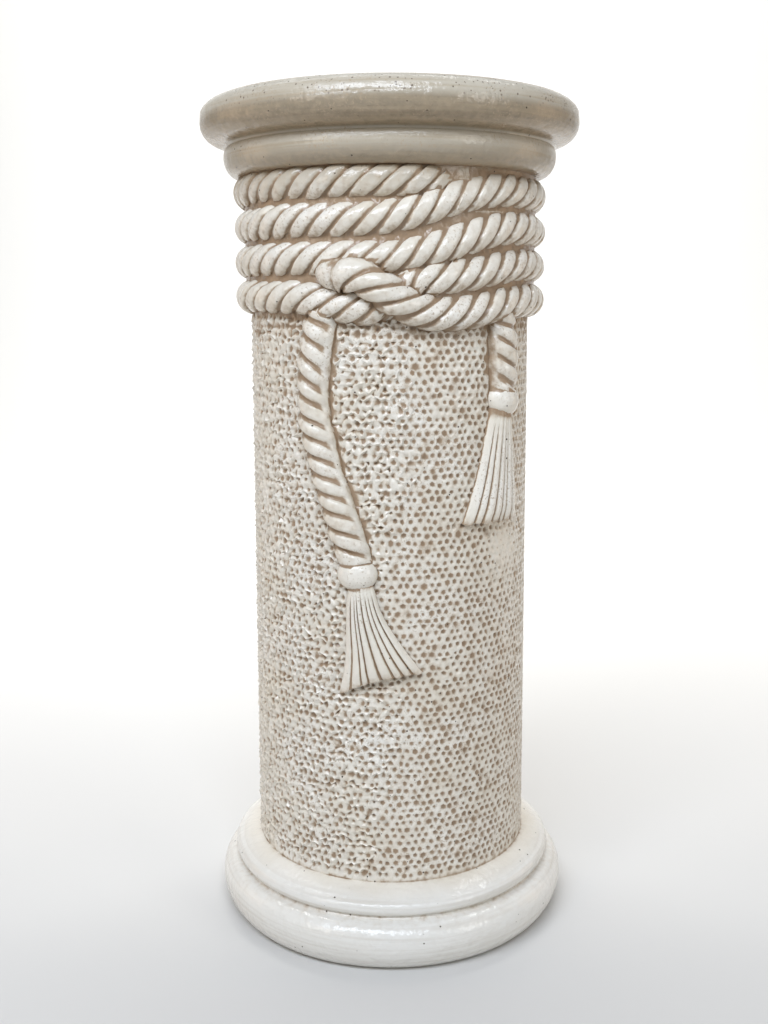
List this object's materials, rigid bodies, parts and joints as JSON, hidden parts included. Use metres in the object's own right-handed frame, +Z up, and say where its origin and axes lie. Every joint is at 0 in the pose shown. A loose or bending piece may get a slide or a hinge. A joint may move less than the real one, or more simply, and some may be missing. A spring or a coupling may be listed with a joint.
{
  "type": "rope twist column",
  "caption": "Round pitted pedestal column with moulded base and capital, a carved rope wound round its neck, knotted at the front, and two hanging tasselled ends.",
  "frame": {"origin": "centre of the underside, on the floor", "axes": "+Z up along the column's axis, -Y out of the front where the knot is, +X to the right of the front"},
  "size_m": [0.304, 0.304, 0.68],
  "materials": {
    "cream_glaze": "satin cream glaze with brown wash left in the hollows"
  },
  "bodies": {
    "root": {"rope_column": "cream_glaze"}
  },
  "joints": []
}
